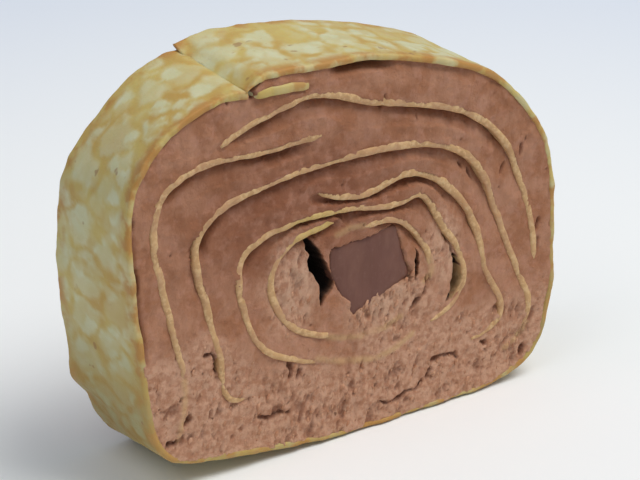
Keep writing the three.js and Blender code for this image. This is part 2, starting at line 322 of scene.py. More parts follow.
# The free edge ends a little short of the solid's. Where the solid leaves a gap below it, the edge
# and the tuck move together: [millimetres along, millimetres up] at the two cuts.
EDGE_SHORT = (0.7, 1.1)
EDGE_SHOWN = [(0, -1.17), (1.2, -0.75), (2.4, -0.42), (4, -0.6), (7, -0.85), (10, -0.8),
              (14, -0.45), (22, 0)]
EDGE_FAR = [(0, -0.61), (2, -0.45), (5.6, -0.17), (10, -0.05), (16, 0)]
TUCK_SHOWN = [(0, -0.3), (8, -0.3), (9.5, 0), (11, 0.4), (13, 0.6), (16, 0.6), (20, 0.35), (26, 0)]
TUCK_FAR = [(0, 0.95), (11, 0.95), (14, 0.8), (20, 0)]


def between_cuts(shown, far, level):
    """A value at a level, from its values at the two cuts."""
    share = (level + HALF_DEPTH) / (2 * HALF_DEPTH)
    return shown + (far - shown) * share


def laid_down(line, level):
    """The wrap's line at a level with its free edge laid down."""
    along = travelled(line)
    kept = along[-1] - between_cuts(*EDGE_SHORT, level)
    wanted = np.linspace(0, kept, len(line))
    line = np.stack([np.interp(wanted, along, line[:, k]) for k in (0, 1)], 1)
    edge = [np.interp(kept - wanted, *zip(*table)) for table in (EDGE_SHOWN, EDGE_FAR)]
    tuck = [np.interp(wanted, *zip(*table)) for table in (TUCK_SHOWN, TUCK_FAR)]
    line[:, 1] += between_cuts(*edge, level) + between_cuts(*tuck, level)
    return soften(line, 0.6)


wrap.front = laid_down(wrap.front, FRONT_READING)
wrap.back = laid_down(wrap.back, BACK_READING)


def edge_above(level):
    """How far the middle of the free edge lies above that of the crepe under it."""
    line = wrap.at(level)
    tucked = line[wrap.along < 20][::-1]
    return line[-1][1] - np.interp(line[-1][0], tucked[:, 0], tucked[:, 1])


# The thin strips of crepe

# A crepe's rounded edge at a cut, from its middle to its side: (side, millimetres further back)
ROUNDING = [(0.0, 0.0), (0.45, 0.03), (0.75, 0.1), (0.92, 0.22), (1.0, 0.38)]


def crepe_ring(left_rows, right_rows):
    """A ring round a crepe as [side, share of the way back, millimetres further back]. It goes back
    on the left side and returns on the right, with rows at these shares."""
    ring = [(side, 0.0, back) for side, back in ROUNDING]
    ring += [(1.0, share, 0.0) for share in left_rows]
    ring += [(side, 1.0, -back) for side, back in ROUNDING[::-1]]
    ring += [(-side, 1.0, -back) for side, back in ROUNDING[1:]]
    ring += [(-1.0, share, 0.0) for share in right_rows[::-1]]
    ring += [(-side, 0.0, back) for side, back in ROUNDING[:0:-1]]
    return np.array(ring)


def strip_points(sheet, ring, thick, front, back, push):
    """Points of a crepe, and for each its distance along the crepe and its level."""
    side, share, further = ring.T
    level = front[:, None] * (1 - share) + back[:, None] * share + further
    along = np.broadcast_to(sheet.along[:, None], level.shape)
    turn = (level[..., None] - FRONT_READING) / (BACK_READING - FRONT_READING)
    centre = sheet.front[:, None, :] + (sheet.back - sheet.front)[:, None, :] * turn
    across = side * thick[:, None] + push(along, level, side)
    run = sheet.run()
    left = np.stack([-run[:, 1], run[:, 0]], 1)
    flat = centre + left[:, None, :] * across[..., None]
    points = np.stack([flat[..., 0], level, flat[..., 1]], 2)
    return points.reshape(-1, 3), along.ravel(), level.ravel()


# How the start and the end of each crepe sink under the smeared cream of the shown cut:
# (millimetres along, millimetres deep)
SUNK_ENDS = {
    "upper_crepe": [(2, 0.15), (0, 0)],
    "left_crepe": [(0, 0), (15, 0.3)],
    "middle_crepe": [(7, 0.45), (4, 0.35)],
    "right_crepe": [(3, 0.3), (0, 0)],
    "core_crepe": [(0, 0), (5, 0.5)],
    "core_left_crepe": [(0, 0), (4, 0.5)],
    "core_right_crepe": [(4, 0.5), (2, 0.1)],
}
# Crepes stand this far out of the cream, at most to the least level
CREPE_PROUD = 0.17
LEAST_LEVEL = -9.32


def sinking(sheet):
    """How far a crepe's shown edge lies back near its ends."""
    sunk = np.zeros(len(sheet.along))
    from_ends = (sheet.along, sheet.length - sheet.along)
    for away, (reach, depth) in zip(from_ends, SUNK_ENDS[sheet.name]):
        if reach:
            sunk += depth * smooth(1 - away / reach)
    return sunk


# The cuts

# Where a crepe stands well clear of the cream below it: [x, z, reach, millimetres deep]
UNDERCUTS = [
    (-24.6, 37.4, 3.2, 2.2), (-13.5, 46.6, 4.5, 1), (2.6, 56.6, 4.2, 3.4), (-1.6, 57, 2, 0.9),
    (-5.4, 35, 4, 1.2), (-28.5, 45.8, 3.5, 0.8), (10.5, 36.4, 3, 1), (21.5, 36.6, 4, 0.5),
    (6.5, 37.3, 3, 0.6), (-17.8, 33.2, 2.4, 0.6), (26.4, 12.4, 1.2, 1.3),
    (-23.6, 16.5, 1.6, 0.8), (13, 51, 7, 0.4),
]

# Torn spots and cracks of the shown cut, as bent lines: [half width, depth, [x, z] ...]
TEARS = [
    (0.22, 1.3, (-17.9, 57), (-16.8, 56.7), (-16.6, 56.2)),
    (0.2, 0.8, (-15.8, 7.3), (-14, 6.9), (-12.4, 7.1), (-11.2, 6.7)),
    (0.18, 0.9, (4.6, 3.9), (6, 3.2), (8.4, 3.4), (10, 4.1), (11.4, 3.9), (12.3, 4.8)),
    (0.36, 1, (-28.5, 10.3), (-28, 10.6)), (0.3, 0.9, (-31.2, 7.5), (-30.2, 7.7)),
    (0.25, 0.9, (13.4, 5.3), (13.9, 6.5)), (0.2, 0.9, (-10.9, 12.2), (-10.6, 13.4), (-10.9, 14.2)),
    (0.22, 1, (-25, 19.6), (-23.8, 19.5), (-23.1, 18.2), (-22.9, 16.6)),
    (0.2, 0.7, (14.3, 7.8), (16, 8.1), (18.3, 7.6), (18.9, 6.8)),
    (0.24, 0.8, (23.3, 8.2), (23.9, 7.8)), (0.26, 1.3, (10.4, 17.3), (11.4, 18.1), (12.6, 18.9)),
    (0.22, 1.1, (12.8, 19.6), (13.3, 21.2)), (0.24, 0.9, (30.8, 4.2), (31.2, 5.1)),
    (0.16, 0.8, (-9.6, 11.6), (-9.1, 12.8)), (0.1, 0.7, (5.4, 49.1), (5.6, 51.2)),
    (0.12, 0.7, (30, 37.9), (29.7, 36.5)), (0.12, 0.7, (27.2, 35.8), (26.3, 34.5)),
    (0.12, 0.7, (33.7, 25.1), (33.3, 23.9)), (0.12, 0.7, (33.6, 22.1), (33.5, 20.6)),
    (0.12, 0.7, (18.9, 37.8), (19.5, 36.8)), (0.12, 0.7, (20.8, 35.9), (21.5, 34.5)),
    (0.13, 0.8, (16.3, 27.3), (17.1, 26)), (0.18, 0.7, (-32.4, 43.9), (-31.8, 44.4)),
    (0.13, 0.7, (17.6, 25.6), (17.9, 23.4)), (0.12, 0.9, (-35.7, 35.2), (-35.6, 31.8)),
    (0.1, 0.9, (-35.5, 27.6), (-35.3, 25)), (0.08, 0.6, (-36, 43.6), (-36.1, 41.4)),
]
# Crepes that only shine through the smeared cream, as bent lines of [x, z]
TRACES = [
    [(-4.2, 16.7), (-1, 15.7), (1.3, 15.3), (5.7, 15.5), (8.4, 16.4)],
    [(-6.3, 13.9), (-3.4, 12.7), (-0.4, 11.8), (4, 10.9), (7.5, 11.8), (10.6, 13.1)],
    [(13.5, 24.6), (14, 22.7), (13.8, 21.6), (12.7, 20.9)],
    [(-2.6, 32.1), (-0.1, 32.5), (1.8, 32.4)],
    [(-28.6, 16.8), (-28.4, 14.9), (-28.7, 12.2), (-29.2, 9.3), (-29.5, 7.8)],
    [(31.8, 9), (30.8, 7.6), (29.7, 6.8), (27.8, 5.9)],
]
# The cream is torn into crumbs below about this height
CRUMB_TOP = 18.5
# The knife dragged the cream upwards and to the right: millimetres right for each millimetre up
DRAG_LEAN = 0.32
# The shown cut faces -1 and the far one 1, and each has its own noise
CUT_SEEDS = {-1: 11, 1: 71}


def dragged(x, z):
    """Places in which noise looks drawn out the way the knife went."""
    return x - DRAG_LEAN * z, z * 0.5


def across_cut(x, facing):
    """How far right of the middle a place is, seen from in front of its cut."""
    return -facing * (x - MIDDLE)


def along_line(x, z, points):
    """Distance from each place to a bent line."""
    nearest = np.full(x.shape, np.inf)
    for (x0, z0), (x1, z1) in zip(points, points[1:]):
        dx, dz = x1 - x0, z1 - z0
        share = np.clip(((x - x0) * dx + (z - z0) * dz) / (dx ** 2 + dz ** 2), 0, 1)
        nearest = np.minimum(nearest, np.hypot(x - x0 - share * dx, z - z0 - share * dz))
    return nearest


def inside_outline(x, z, points):
    """Distance to a closed outline, positive inside it."""
    closed = [*points, points[0]]
    away = along_line(x, z, closed)
    within = np.zeros(x.shape, bool)
    for (x0, z0), (x1, z1) in zip(closed, closed[1:]):
        if z0 != z1:
            crossed = (z0 > z) != (z1 > z)
            within ^= crossed & (x < x0 + (z - z0) * (x1 - x0) / (z1 - z0))
    return np.where(within, away, -away)


def sheet_tree(level):
    """A search tree of the crepes' centre points at a level, and how far the cream falls back below
    each: fully below inner crepes, but not at their ends."""
    points, hanging = [], []
    for sheet in [wrap, *inner.values()]:
        line = evenly(sheet.at(level), 4 * len(sheet.along))
        along = travelled(line)
        from_end = np.minimum(along, along[-1] - along)
        points.append(line)
        hanging.append(0.2 + 0 * along if sheet is wrap else smooth((from_end - 0.5) / 4))
    points = np.vstack(points)
    tree = KDTree(len(points))
    for i, (x, z) in enumerate(points):
        tree.insert((x, z, 0), i)
    tree.balance()
    return tree, np.concatenate(hanging)


def beside_crepe(x, z, facing):
    """Distance to the nearest crepe's middle, how much of it is straight down from there, and how
    far the cream falls back there."""
    search, hanging = TREES[facing]
    found = [search.find((a, b, 0)) for a, b in zip(x.ravel(), z.ravel())]
    places, numbers, gaps = zip(*found)
    height = np.reshape([place.y for place in places], x.shape)
    gap = np.reshape(gaps, x.shape)
    below = (height - z) / np.maximum(gap, 1e-6)
    return gap, below, np.reshape(hanging[list(numbers)], x.shape)


def crumbly(x, z, seed):
    """1 where the cream is torn into crumbs, 0 where the knife left it smooth."""
    low = smooth((CRUMB_TOP - z + 5 * rough(x, z, 9, seed) + 8 * smooth((-15 - x) / 9)) / 8)
    core = smooth(1.6 - np.hypot((x - 8) / 9, (z - 17) / 6) + 0.4 * rough(x, z, 5, seed + 3))
    sides = np.minimum(np.hypot((x + 10) / 4.5, (z - 26) / 8), np.hypot((x - 16) / 3, (z - 26) / 6))
    beside = 0.95 * smooth(1.5 - sides + 0.3 * rough(x, z, 3, seed + 4))
    return np.clip(np.maximum(np.maximum(low, core), beside), 0, 1)


def shining_through(x, z, facing):
    """How strongly a smeared crepe shows, from 0 to 1."""
    own_x = across_cut(x, facing)
    away = np.min([along_line(own_x, z, points) for points in TRACES], axis=0)
    return smooth(1.2 - away / 0.65) * smooth(0.8 + 0.7 * rough(x, z, 2.2, 90, 3))


def cut_level(x, z, facing):
    """How far the cut lies back from flat, leaving small relief aside."""
    seed = CUT_SEEDS[facing]
    swells = 0.16 * rough(x, z, 16, seed + 1) + 0.1 * rough(x, z * 0.22, 3, seed + 2)
    dents = 0.46 * rough(x, 0.8 * z, 3.8, seed + 9, 3) + 0.28 * rough(x, 0.8 * z, 1.7, seed + 10, 3)
    return 0.3 + 0.28 * np.tanh((swells + dents * (1 - 0.4 * crumbly(x, z, seed))) / 0.28)


def pit_depths(x, z, facing, crumbs, patches, torn, finer):
    """How deep the pits are: many in crumbly cream, few in smooth cream, and the drawn tears."""
    seed = CUT_SEEDS[facing]
    u, v = dragged(x, z)
    own_x = across_cut(x, facing)
    pits = 0
    for size, share, depth in ((1.3, -0.34, 0.4), (0.65, -0.33, 0.24)):
        cloud = rough(u, v, size, seed + 40 + int(10 * size), 4)
        least = share - 0.3 + 0.34 * crumbs + 0.24 * patches
        pits = np.maximum(pits, depth * (0.35 + 0.65 * crumbs) * smooth((least - cloud) / 0.3))
    loose, firm = 0.13 * crumbs, 0.13 * (1 - crumbs)
    for a, b, chance, depth in ((u, v, loose, 0.65), (x, 0.4 * z, firm, 0.45)):
        near, _, own = spots(a + 0.5 * torn, b + 0.3 * finer, 1.7, seed + 30)
        reach = 0.04 + 0.1 * own / np.maximum(chance, 1e-6) + 0.05 * finer
        pits = np.maximum(pits, depth * smooth((reach - near) / 0.1) * (own < chance))
    # The far cut has its tears elsewhere
    offset = 0 if facing < 0 else 6.0
    for half_width, depth, *points in TEARS:
        away = along_line(own_x + offset, z - 0.1 * offset, points)
        edge = half_width * (1.25 + 1.7 * torn + 0.9 * finer)
        pits = np.maximum(pits, depth * smooth((edge - away) / 0.4 + 0.5))
    return pits


def fallen_back(x, z, facing, gap, below, fall):
    """How far the cream falls back below each crepe, most in the upper half."""
    seed = CUT_SEEDS[facing]
    own_x = across_cut(x, facing)
    patchy = 0.8 + 0.5 * rough(x, z, 5, seed + 50)
    upper = smooth((z - 22) / 12) * smooth((33 - np.abs(x)) / 8)
    under = np.clip(below, 0, 1) ** 0.6
    fading = np.exp(-np.maximum(gap - 0.5, 0) / (0.55 + 0.85 * upper))
    hollow = (0.3 + 1.9 * upper) * fall * patchy * under * fading
    # Some seams beside crepes are open, most of all on the left
    left_side = smooth((-32 - own_x) / 2) * smooth((z - 20) / 5) * smooth((43 - z) / 4)
    open_seam = 0.3 * rough(x, z, 2.0, seed + 53) + 0.02 + 0.5 * left_side
    hollow = hollow + np.maximum(hump(gap - 0.55, 0.2) * open_seam, 0)
    close_below = smooth(0.6 + below) * smooth((2.2 - gap) / 1.5)
    for centre_x, centre_z, reach, depth in UNDERCUTS:
        close = np.hypot(own_x - centre_x, z - centre_z) / reach
        hollow = hollow + depth * smooth(1.35 - close) * close_below
    return hollow


# The block's corners that the smeared cream leaves bare
BARE_CORNERS = ((-0.1, 18.3), (10.3, 22.4))


def clear_of_block(x, z, facing):
    """How far back the cream lies to leave the block bare, with ragged cream over its lower edge."""
    seed = CUT_SEEDS[facing]
    own_x = across_cut(x, facing)
    lower = smooth((24.5 - z + 0.25 * (x - 4)) / 3)
    smeared = lower * (0.3 + 1.2 * rough(*dragged(x, z), 1.2, seed + 60, 4))
    for corner_x, corner_z in BARE_CORNERS:
        smeared = smeared - 0.5 * smooth(1.4 - np.hypot(own_x - corner_x, z - corner_z) / 2)
    corner = np.hypot(x - BLOCK_OUTLINE[:, 0].min(), z - 29.4)
    smeared = smeared + smooth(1.3 - corner / 2) * (0.6 * rough(x, z, 1.1, seed + 62, 4) - 0.05)
    bare = inside_outline(x, z, BLOCK_OUTLINE) - smeared + 0.3 * rough(x, z, 1.0, seed + 61, 4)
    return 1.3 * smooth(bare / 0.35)


def cut_relief(x, z, facing):
    """How far the cream lies back from the flat of a cut, how much painted shade each place gets in its
    pits, in the hollows under crepes and in the dips of its grain, and how crumbly it is."""
    seed = CUT_SEEDS[facing]
    gap, below, fall = beside_crepe(x, z, facing)
    crumbs = crumbly(x, z, seed)
    u, v = dragged(x, z)
    patches = rough(x, z, 6, seed + 20) + 0.5 * rough(x, z, 2.5, seed + 21)
    # Strokes of the knife and a fine torn grain, weaker right beside a crepe
    strokes = smooth(0.4 + patches) * rough(x - 0.1 * z, z * 0.22, 0.6, seed + 5, 3)
    torn = rough(u, v, 1.0, seed + 13, 4)
    finer = rough(u, v * 1.3, 0.55, seed + 17, 3)
    quiet = 1 - 0.45 * crumbs * smooth(0.5 - 1.2 * patches)
    grain = (0.6 + 0.4 * crumbs) * (0.18 * torn + 0.15 * finer) + (0.1 + 0.28 * crumbs) * strokes
    grain = grain * quiet * (1 - 0.6 * hump(gap - 0.6, 0.35))
    pits = pit_depths(x, z, facing, crumbs, patches, torn, finer)
    hollow = fallen_back(x, z, facing, gap, below, fall)
    above = -0.08 * hump(gap - 0.5, 0.5) * smooth(-below)
    back = cut_level(x, z, facing) - 0.06 + grain + pits + hollow + above
    back = back - 0.12 * shining_through(x, z, facing)
    back = np.maximum(back, clear_of_block(x, z, facing))
    # The second value is painted shade: darker cream in pits, in hollows under crepes and in the grain's
    # dips
    return back, np.clip(pits / 0.6 + 0.35 * hollow + 0.8 * grain, 0, 1), crumbs


def grid_slab():
    """A closed block between the uneven cuts, wider than the cream all round."""
    low_x, high_x = cad_low.x / MM - 0.6, cad_high.x / MM + 0.6
    low_z, high_z = -0.6, cad_high.z / MM + 0.6
    columns = 2 * int((high_x - low_x) / FRONT_CELL / 2)
    rows = 2 * int((high_z - low_z) / FRONT_CELL / 2)

    def side(step, facing):
        across = np.linspace(low_x, high_x, columns // step + 1)
        up = np.linspace(low_z, high_z, rows // step + 1)
        x, z = np.meshgrid(across, up, indexing="ij")
        back, _, _ = cut_relief(x, z, facing)
        level = facing * (HALF_DEPTH - back)
        number = np.arange(x.size).reshape(x.shape)
        quads = np.stack([number[:-1, :-1], number[1:, :-1], number[1:, 1:], number[:-1, 1:]], 2)
        rim = np.concatenate([number[:-1, 0], number[-1, :-1], number[:0:-1, -1], number[0, :0:-1]])
        return np.stack([x, level, z], 2).reshape(-1, 3), quads.reshape(-1, 4), rim

    front, front_quads, front_rim = side(1, -1)
    # The far face has every second point of the shown one
    back, back_quads, back_rim = side(2, 1)
    back_rim = back_rim + len(front)
    faces = front_quads.tolist() + (back_quads[:, ::-1] + len(front)).tolist()
    first, middle = front_rim[::2], front_rim[1::2]
    last, beyond = np.roll(first, -1), np.roll(back_rim, -1)
    faces += np.stack([last, middle, first, back_rim, beyond], 1).tolist()
    return new_object("chocolate_cream_body", np.vstack([front, back]), faces)


# Where the cream's outline starts along the outer crepe, and how far before its free edge it ends
ROOM_FROM = 9.6
ROOM_SHORT = 4.4


def cream_room():
    """A long block with the outline of the wrap's middle."""
    reach = 14.0
    kept = (wrap.along > ROOM_FROM) & (wrap.along < wrap.length - ROOM_SHORT)
    rings = [at_level(wrap.at(level)[kept], level) for level in (-reach, reach)]
    return new_object("room", np.vstack(rings), ring_faces(2, int(kept.sum())))


# The hollows round the chocolate: their outlines, and how deep they are at the two cuts
HOLLOWS = [
    [(-7.9, 32.5), (-7.2, 32.8), (-6.5, 31.9), (-6.1, 31), (-5.4, 30.4), (-5, 29.2), (-4.4, 28.2),
     (-4, 27), (-3.4, 26), (-3.1, 24.9), (-3.3, 23.9), (-4.6, 23.2), (-5.6, 21.6), (-5.9, 23.6),
     (-5.8, 25.2), (-6.6, 26.6), (-7.5, 27.7), (-7.9, 29.3), (-7.6, 30.6), (-8.1, 31.4)],
    [(17.9, 24), (18.7, 23.4), (19.5, 21.4), (19.9, 19.6), (19.2, 17.9), (17.6, 16.8),
     (16.3, 16.5), (17, 17.9), (17.6, 19.6), (17.8, 21.6)],
    [(11.2, 26.5), (11.7, 25.3), (11.8, 23.8), (11.6, 22.3), (11.1, 21), (10.8, 22.4), (10.8, 24.6)],
]
HOLLOW_DEPTHS = {-1: 8.5, 1: 4.0}


def hollow_cutter(outline, facing, depth):
    """A pit that narrows and wanders as it goes in, from a little outside the cut."""
    closed = evenly_round(np.array(outline), 96)
    middle = closed.mean(0)
    closed = closed + 0.2 * np.stack([rough(closed[:, 0], closed[:, 1], 0.8, k, 3) for k in (7, 8)], 1)
    outside = 1.2
    rings = []
    stations = 14
    for k in range(stations):
        share = k / (stations - 1)
        level = facing * (HALF_DEPTH + outside - share * (depth + outside))
        angle = np.linspace(0, 40, len(closed), endpoint=False)
        ragged = 1 + 0.1 * rough(angle, np.full(len(closed), 3 * share), 2.1, 5)
        scale = (1 - 0.55 * smooth((share - 0.2) / 0.8)) * ragged
        rings.append(at_level(middle + (closed - middle) * scale[:, None], level))
    return np.vstack(rings) + [MIDDLE, 0, 0], ring_faces(stations, len(closed))


def outward(piece):
    """Turns all faces of closed meshes outwards."""
    body = bmesh.new()
    body.from_mesh(piece.data)
    bmesh.ops.recalc_face_normals(body, faces=body.faces)
    body.to_mesh(piece.data)
    body.free()


def hollow_cutters():
    """All pits as one object of closed shells."""
    points, faces, count = [], [], 0
    for outline in HOLLOWS:
        for facing, depth in HOLLOW_DEPTHS.items():
            shell, quads = hollow_cutter(outline, facing, depth)
            points.append(shell)
            faces += [[i + count for i in face] for face in quads]
            count += len(shell)
    piece = new_object("hollows", np.vstack(points), faces)
    outward(piece)
    return piece


# Pieces

block_loop = largest_loop("chocolate_block", FRONT_READING)
BLOCK_OUTLINE = evenly(block_loop, 60)
TREES = {facing: sheet_tree(facing * HALF_DEPTH) for facing in (-1, 1)}


def edge_level(sheet, facing):
    """The level of a crepe's edge at a cut, with the larger swells of the cream."""
    centre = sheet.at(facing * HALF_DEPTH)
    return facing * (HALF_DEPTH - cut_level(centre[:, 0], centre[:, 1], facing) + CREPE_PROUD)


# Half the thickness of an inner and of the outer crepe
INNER_THICK = 0.54
OUTER_THICK = 0.47


def inner_crepe(name, number):
    sheet = inner[name]
    ring = crepe_ring([0.05, 0.5, 0.95], [0.05, 0.5, 0.95])
    run = sheet.along
    still = 0 * run
    seed = 200 + 9 * number
    thick = INNER_THICK + 0.14 * rough(run, still, 6, seed) + 0.02 * rough(run, still, 0.9, seed + 1)
    from_end = np.minimum(run, sheet.length - run)
    upper = smooth((sheet.at(0)[:, 1] - 22) / 10)
    thick = thick * (0.45 + 0.55 * smooth(from_end / 1.2)) * (0.96 + 0.14 * upper)
    torn = 0.16 * rough(run, still, 4, seed + 2, 3) + 0.03 * rough(run, still, 0.8, seed + 6)
    front = np.maximum(edge_level(sheet, -1) + torn, LEAST_LEVEL) + sinking(sheet)
    back = edge_level(sheet, 1) - 0.12 * rough(run, still, 3, seed + 3, 4)

    def push(along, level, side):
        near_front = smooth((-4 - level) / 5)
        sway = 0.16 * rough(along, level * 0.2, 3.4, seed + 4)
        frayed = 0.03 * near_front * rough(along, level + 3 * side, 0.9, seed + 5)
        return sway + frayed

    points, _, _ = strip_points(sheet, ring, thick, front, back, push)
    piece = new_object(name + "_sheet", points, ring_faces(len(sheet.along), len(ring)))
    x, z = points[:, 0] - MIDDLE, points[:, 2]
    paint(piece, "yellow", smooth(1.35 - np.hypot((x + 6.5) / 6, (z - 34.6) / 3)))
    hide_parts(name)
    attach(piece, "root")
    return piece


def skin_marks(along, level):
    """The crepe's pattern: pale blisters from 0 to 1, and how brown the rest is."""
    u = along + 1.3 * rough(along, level, 3.2, 301, 4)
    v = 0.8 * level + 1.3 * rough(along, level, 3.2, 302, 4)
    broken = 0.3 * rough(along, level, 1.8, 309, 3)
    first, second, own = spots(u, v, 5.2, 303)
    border = second - first + 0.8 * broken
    large = smooth((border - 0.05) / 0.36) * smooth((own - 0.05) / 0.3)
    first, second, own = spots(u, v, 2.7, 305)
    small = smooth((second - first + broken - 0.04) / 0.5) * smooth((own - 0.25) / 0.3)
    place = smooth(0.5 + 0.9 * rough(along, level, 9, 307) + 0.4 * smooth((40 - along) / 15))
    pale = large * (1 - 0.45 * place) + small * (0.3 + 0.6 * place)
    pale = pale * (0.85 + 0.3 * rough(along, level, 4.5, 304))
    lines = smooth((0.14 - border) / 0.14) * smooth(0.3 + 1.2 * rough(along, level, 6, 308))
    brown = smooth(0.28 + 0.8 * rough(along, level, 5.5, 306, 4) + 0.4 * lines)
    return np.clip(pale, 0, 1), np.clip(brown, 0, 1)


# Where the tucked crepe is torn through at the shown cut, and where its torn end is folded thick
TORN_AT = 9.2
FOLDED_AT = 11.6


def outer_thickness(resting):
    """Half the outer crepe's thickness along its run."""
    run = wrap.along
    thick = (OUTER_THICK + 0.06 * rough(run, 0 * run, 3, 320)) * (1 - 0.28 * resting)
    thick = thick + 0.2 * hump(run - FOLDED_AT, 1.5) + 0.2 * smooth((TORN_AT - run) / 2)
    return thick * (0.75 + 0.25 * smooth(run / 1.2))


def outer_edges(resting):
    """The levels of the outer crepe's edges at the two cuts."""
    run = wrap.along
    still = 0 * run
    front = edge_level(wrap, -1) + 0.16 * rough(run, still, 3.2, 321, 4)
    front = front - 0.2 * smooth((TORN_AT - run) / 2) + 0.2 * resting * rough(run, still, 1.6, 326)
    front = np.maximum(front, LEAST_LEVEL)
    front = front + 1.8 * smooth(1.2 - np.abs(run - TORN_AT) / 0.55)
    back = edge_level(wrap, 1) - 0.1 * rough(run, still, 2.6, 322, 4)
    return front, back


def far_fold():
    """Low on the left the crepe bulges towards the far cut, with a crease below that."""
    far = wrap.at(HALF_DEPTH)
    fold = 0.8 * hump(far[:, 1] - 13.4, 2.3) - 0.32 * hump(far[:, 1] - 9.4, 1.6)
    return np.where(far[:, 0] < -20, fold, 0)[:, None]


def edge_wave(along, level, size):
    """How far each point moves, because the free edge isn't straight. A ring has size points."""
    wave = 0.75 * rough(level, 0 * level, 6, 330, 4) + 0.3 * rough(level, 0 * level, 1.7, 331, 3)
    wave = wave * smooth(1 - (wrap.length - along) / 7)
    return wave[:, None] * np.repeat(wrap.run(), size, axis=0)


def paint_skin(piece, along, level, height):
    """Paints the pattern, the browner edges and how low each place lies, for painted shade on the lower
    skin.
    """
    pale, brown = skin_marks(along, level)
    paint(piece, "pale", pale)
    paint(piece, "brown", brown)
    rim = smooth(1 - (HALF_DEPTH - np.abs(level)) / 4.5)
    rim = rim * np.maximum(smooth((along - 7) / 4), 0.8 * smooth((5 - along) / 3))
    far_corner = smooth(1 - (wrap.length - along) / 3) * smooth((level - 2) / 5)
    paint(piece, "edge", np.maximum(rim, far_corner))
    # Painted shade: the skin gets darker towards the bottom, less so in its lowest few millimetres as
    # painted bounce light from the floor
    paint(piece, "low", smooth((30 - height) / 24) * (1 - 0.7 * smooth((8 - height) / 6)))


def outer_crepe():
    rows = int(2 * HALF_DEPTH / SKIN_STEP)
    ring = crepe_ring([0.03, 0.2, 0.4, 0.6, 0.8, 0.97], np.linspace(0.03, 0.97, rows))
    resting = smooth((2 - wrap.at(0)[:, 1]) / 1.5)
    fold = far_fold()
    from_edge = (wrap.length - wrap.along)[:, None]
    levels = np.linspace(-HALF_DEPTH, HALF_DEPTH, 10)
    above = [edge_above(level) for level in levels]

    def push(along, level, side):
        pale, _ = skin_marks(along, level)
        waves = 0.16 * rough(along, level, 7, 323)
        raised = 0.07 * pale + 0.035 * rough(along, level, 1.2, 324) + fold * smooth((level - 1) / 6)
        sway = 0.05 * rough(along, 0 * level, 4, 325)
        # The free edge thins out, but for its far corner, and rests on the crepe below it
        ending = smooth(1 - from_edge / 3)
        thinned = 0.08 + 0.31 * smooth((8.6 - level) / 3)
        touching = np.interp(level, levels, above) - 0.5 - (0.46 - thinned)
        pressed = smooth(1.1 - from_edge / 8) * np.clip(touching + 0.2, 0, 2)
        pressed = pressed * smooth((9.8 - level) / 2)
        lowered = 0.1 * resting[:, None]
        uneven = smooth((along - 13) / 6) * (1 - ending) * (waves + raised)
        return sway + lowered + pressed - side * ending * thinned - np.where(side < 0, uneven, 0)

    front, back = outer_edges(resting)
    points, along, level = strip_points(wrap, ring, outer_thickness(resting), front, back, push)
    points[:, (0, 2)] += edge_wave(along, level, len(ring))
    points[:, 2] = np.maximum(points[:, 2], 0)
    piece = new_object("outer_crepe_skin", points, ring_faces(len(wrap.along), len(ring)))
    # Both ends of the crepe are cut square
    for face in piece.data.polygons[-2:]:
        face.use_smooth = False
    paint_skin(piece, along, level, points[:, 2])
    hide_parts(OUTER)
    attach(piece, "root")
    return piece


# Where torn cream shows pale fibres round the core: [x, z, half width, half height]
FIBRES = [(6.5, 18.8, 6.5, 3), (16.5, 24, 2.2, 5), (-9.5, 26, 3.5, 6)]


def paint_cream(piece):
    """Paints what the cream's colour depends on."""
    count = len(piece.data.vertices)
    places = np.empty(count * 3, np.float32)
    piece.data.vertices.foreach_get("co", places)
    places = places.reshape(-1, 3) / MM
    pit, crumb, deep = np.zeros((3, count))
    for facing in (-1, 1):
        here = places[:, 1] * facing > 0
        x, level, z = places[here].T
        back, pit[here], crumb[here] = cut_relief(x, z, facing)
        # How far inside a hollow a place lies; the walls there get painted shade, near black
        deep[here] = smooth((HALF_DEPTH - back - np.abs(level) - 0.05) / 1.1)
    # Painted shade: pits, hollows under crepes and the grain's dips are painted darker
    paint(piece, "pit", pit)
    paint(piece, "crumb", crumb)
    paint(piece, "deep", deep)
    x, level, z = places.T
    paint(piece, "trace", shining_through(x, z, np.where(level < 0, -1, 1)))
    away = [np.hypot((x - MIDDLE - a) / wide, (z - b) / high) for a, b, wide, high in FIBRES]
    paint(piece, "fibres", smooth(1.35 - np.min(away, axis=0)))
    # Darker cream round the upper left: its own tone, with painted shade of the dents and crepes there
    # over it
    paint(piece, "dark_tone_and_shade", smooth(1.25 - np.hypot((x + 8) / 24, (z - 37) / 13)))


def cream_body():
    piece = grid_slab()
    outward(piece)
    room = cream_room()
    outward(room)
    apply_boolean(piece, room, "INTERSECT")
    apply_boolean(piece, hollow_cutters(), "DIFFERENCE")
    piece.data.polygons.foreach_set("use_smooth", [True] * len(piece.data.polygons))
    paint_cream(piece)
    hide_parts("chocolate_cream")
    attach(piece, "root")
    return piece


# Loose crumbs: how many lie on the two cuts, where, and how large they are
CRUMBS = {-1: 420, 1: 300}
CRUMBS_ACROSS = (-34, 35)
CRUMBS_UP = (1.5, 26)
CRUMB_RADIUS = (0.12, 0.4)
# More lie along this edge of the block
BLOCK_CRUMBS = 34
BLOCK_EDGE = np.array([(-0.3, 18.4), (10.3, 21.9)])


def crumb_places(facing, count, draw):
    """Places among the torn cream, and along the lower edge of the block."""
    tries = 12 * count
    x = draw.uniform(*CRUMBS_ACROSS, tries)
    z = draw.uniform(*CRUMBS_UP, tries)
    kept = draw.uniform(0, 1, tries) < crumbly(x, z, CUT_SEEDS[facing]) ** 2
    x, z = x[kept][:count], z[kept][:count]
    share = draw.uniform(0, 1, (BLOCK_CRUMBS, 1))
    start, end = BLOCK_EDGE
    beside = start + share * (end - start) + draw.normal(0, 0.7, (BLOCK_CRUMBS, 2))
    return np.concatenate([x, beside[:, 0] + MIDDLE]), np.concatenate([z, beside[:, 1]])


